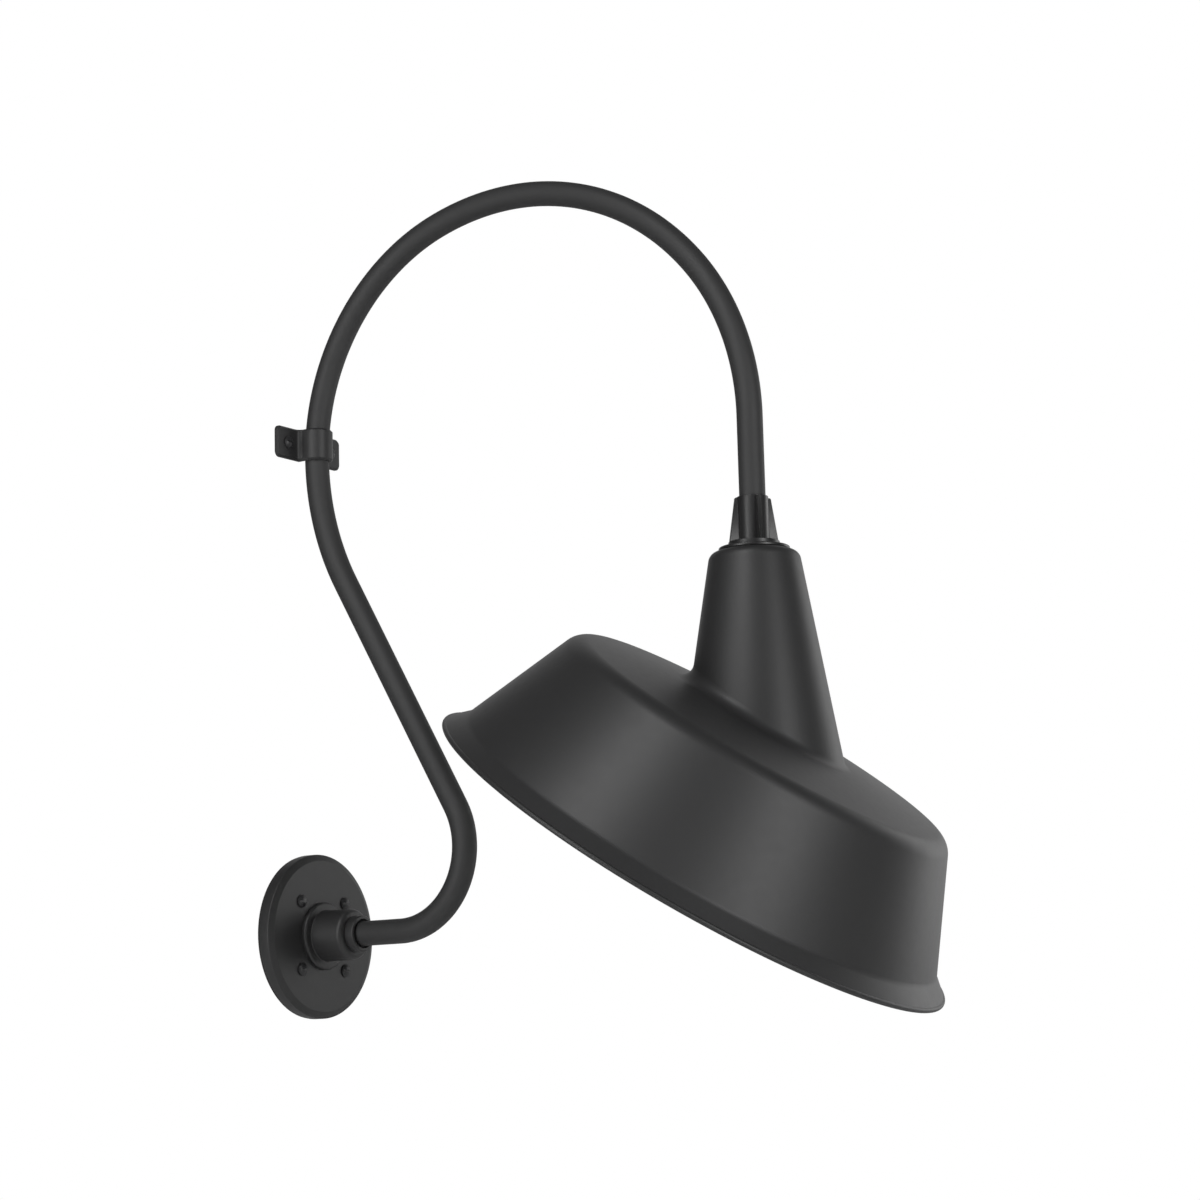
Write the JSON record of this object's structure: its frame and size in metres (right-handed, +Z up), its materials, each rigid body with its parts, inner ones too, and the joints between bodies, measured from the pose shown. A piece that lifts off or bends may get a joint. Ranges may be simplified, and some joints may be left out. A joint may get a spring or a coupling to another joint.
{
  "type": "gooseneck wall sconce",
  "caption": "Black gooseneck wall light: round wall plate, hooked tube held by a wall strap, ribbed fitter, and an angled spun dish reflector over a bulb.",
  "frame": {"origin": "centre of the wall plate's four screws, on the wall surface", "axes": "+Z up, +Y into the wall, -Y out into the room, +X to the right for someone facing the wall"},
  "size_m": [0.407, 0.5697, 0.6459],
  "materials": {
    "black_powder_coat": "matte powder coat",
    "black_screw": "satin black",
    "zinc_steel": "zinc plated",
    "green_screw": "green passivated",
    "gasket_rubber": "matte",
    "bushing_plastic": "matte",
    "wire_black": "satin insulation",
    "wire_white": "satin insulation",
    "wire_green": "satin insulation",
    "porcelain": null,
    "brass": "plain",
    "cap_metal": "plain",
    "black_glass": "vitreous insulator",
    "solder": "dull solder",
    "bulb_glass": "frosted"
  },
  "bodies": {
    "mount": {"wall_plate": "black_powder_coat", "plate_gasket": "gasket_rubber", "plate_screws": "black_screw", "ground_screw": "green_screw", "arm_hub": "black_powder_coat", "hub_locknut": "zinc_steel", "arm_set_screw": "black_screw", "arm_collar": "black_powder_coat", "arm_seal": "gasket_rubber", "gooseneck_tube": "black_powder_coat", "tube_bushings": "bushing_plastic", "wall_strap": "black_powder_coat", "strap_screws": "black_screw", "lead_black": "wire_black", "lead_white": "wire_white", "lead_ground": "wire_green"},
    "shade": {"shade_fitter": "black_powder_coat", "shade_set_screw": "black_screw", "neck_gasket": "gasket_rubber", "neck_cone": "black_powder_coat", "neck_fillet": "black_powder_coat", "shade_dish": "black_powder_coat", "neck_locknut": "zinc_steel", "socket_bracket": "zinc_steel", "bracket_screws": "zinc_steel", "socket_body": "porcelain", "socket_screws": "zinc_steel", "socket_shell": "brass", "socket_contact": "brass"},
    "bulb": {"bulb_tip": "solder", "bulb_insulator": "black_glass", "bulb_cap": "cap_metal", "bulb_glass": "bulb_glass"}
  },
  "joints": [
    {"name": "shade_turn", "type": "hinge", "parent": "mount", "child": "shade", "pos_m": [0, -0.41415, 0.29373], "axis": [0, 0, 1], "range_deg": [-180, 180]},
    {"name": "bulb_turn", "type": "hinge", "parent": "shade", "child": "bulb", "pos_m": [0, -0.41415, 0.20873], "axis": [0, 0, 1], "range_deg": [-900, 0]}
  ]
}
